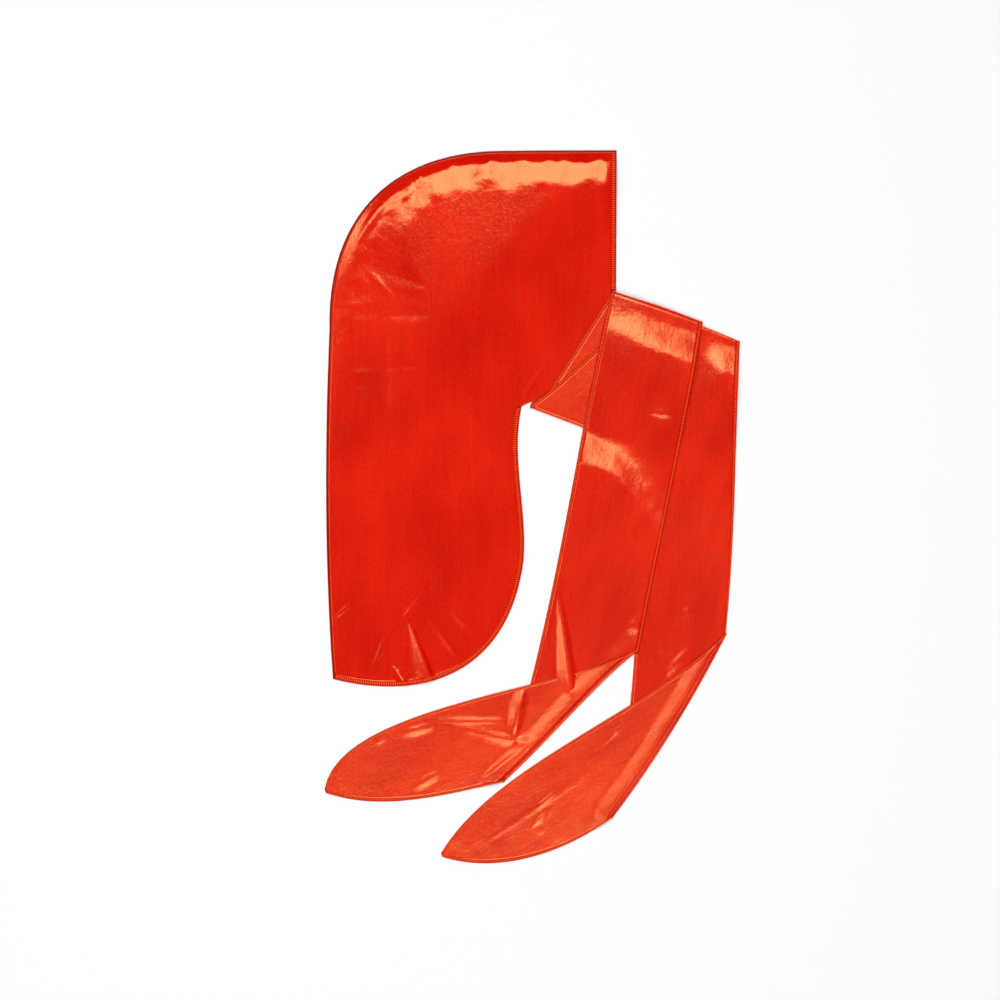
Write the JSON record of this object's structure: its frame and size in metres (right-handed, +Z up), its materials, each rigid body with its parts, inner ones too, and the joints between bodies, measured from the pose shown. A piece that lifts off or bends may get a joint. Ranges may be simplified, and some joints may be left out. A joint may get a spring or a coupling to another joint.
{
  "type": "durag",
  "caption": "Satin durag lying folded along its centre seam, hemmed side panels forming crown and tail, long tapered ties folded back beside it for tying round the head.",
  "frame": {"origin": "on the surface that the durag lies on, at the middle of the box that holds it", "axes": "+Z up from the surface, +X towards the forehead edge and the ties, +Y towards the crown, -Y towards the tail"},
  "size_m": [0.4155, 0.7125, 0.0129],
  "materials": {
    "panel_satin": "red-orange polyester satin, glossy, soft creases",
    "seam_satin": "rolled satin seam, sewn",
    "hem_satin": "folded satin hem with a row of stitches",
    "tie_satin": "red-orange polyester satin, glossy, narrow sewn hems"
  },
  "bodies": {
    "root": {"upper_panel": "panel_satin", "lower_panel": "panel_satin", "centre_seam": "seam_satin", "upper_front_band": "hem_satin", "lower_front_band": "hem_satin", "upper_tail_hem": "hem_satin", "lower_tail_hem": "hem_satin", "upper_tie": "tie_satin", "lower_tie": "tie_satin"}
  },
  "joints": []
}
